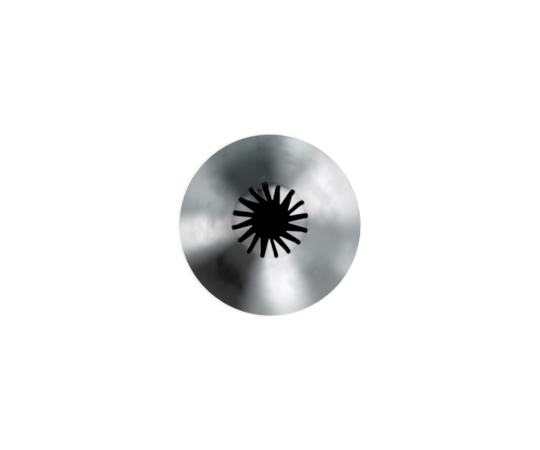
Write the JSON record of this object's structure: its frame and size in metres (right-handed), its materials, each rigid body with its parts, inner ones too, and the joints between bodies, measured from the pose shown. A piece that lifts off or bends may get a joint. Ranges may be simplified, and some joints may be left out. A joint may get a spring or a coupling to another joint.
{
  "type": "piping nozzle",
  "caption": "Conical stainless star piping nozzle with a hemmed straight base band, a welded seam and a fine star opening folded inwards at the tip.",
  "frame": {"origin": "centre of the base circle, on the surface that the nozzle stands on", "axes": "+Z along the cone's axis towards the tip, +Y towards the back, 9 degrees from the weld"},
  "size_m": [0.03, 0.03, 0.05],
  "materials": {
    "sheet_steel": "soft polished stainless sheet",
    "weld_steel": "ground flush outside, as welded inside"
  },
  "bodies": {
    "root": {"nozzle_cone": "sheet_steel", "seam_weld": "weld_steel"}
  },
  "joints": []
}
